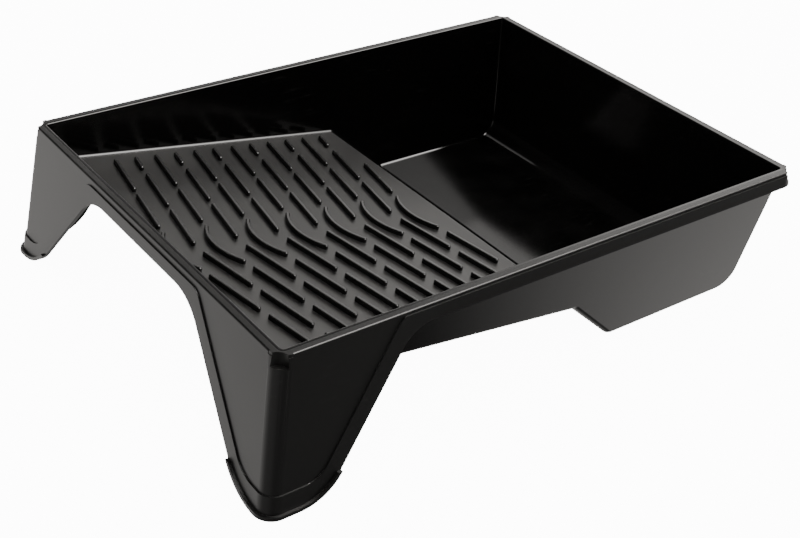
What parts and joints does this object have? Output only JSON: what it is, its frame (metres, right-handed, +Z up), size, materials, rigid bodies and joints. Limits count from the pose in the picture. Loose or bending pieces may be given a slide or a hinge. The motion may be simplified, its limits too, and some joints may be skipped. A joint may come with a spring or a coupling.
{
  "type": "paint roller tray",
  "caption": "One-piece plastic tray with a deep paint well, a ribbed ramp for rolling off, a flat rim with scalloped corners and two flared corner legs",
  "frame": {"origin": "middle of the bounding box, on the surface the tray stands on", "axes": "+X from the leg end to the deep end (longest extent), +Y across the tray toward the back long side, +Z up (shortest extent)"},
  "size_m": [0.4032, 0.3168, 0.093],
  "materials": {
    "basin": "smooth moulded surface, semi-gloss",
    "ramp": "satin moulded surface",
    "rim": "smooth moulded surface, semi-gloss, edges slightly worn",
    "leg": "satin moulded panel",
    "border": "satin moulded border, edges slightly worn"
  },
  "bodies": {
    "root": {"well_floor": "basin", "gate_mark": "basin", "well_end_wall": "basin", "well_step": "basin", "ramp_deck": "ramp", "shallow_wall": "basin", "side_wall_front": "basin", "side_wall_back": "basin", "ribs_front": "ramp", "ribs_middle": "ramp", "ribs_back": "ramp", "rim_front": "rim", "rim_back": "rim", "rim_shallow": "rim", "rim_deep": "rim", "corner_front_shallow": "rim", "corner_back_shallow": "rim", "corner_front_deep": "rim", "corner_back_deep": "rim", "apron": "border", "leg_front": "leg", "leg_back": "leg", "leg_border_front": "border", "leg_border_back": "border", "foot_lip_front": "border", "foot_lip_back": "border"}
  },
  "joints": []
}
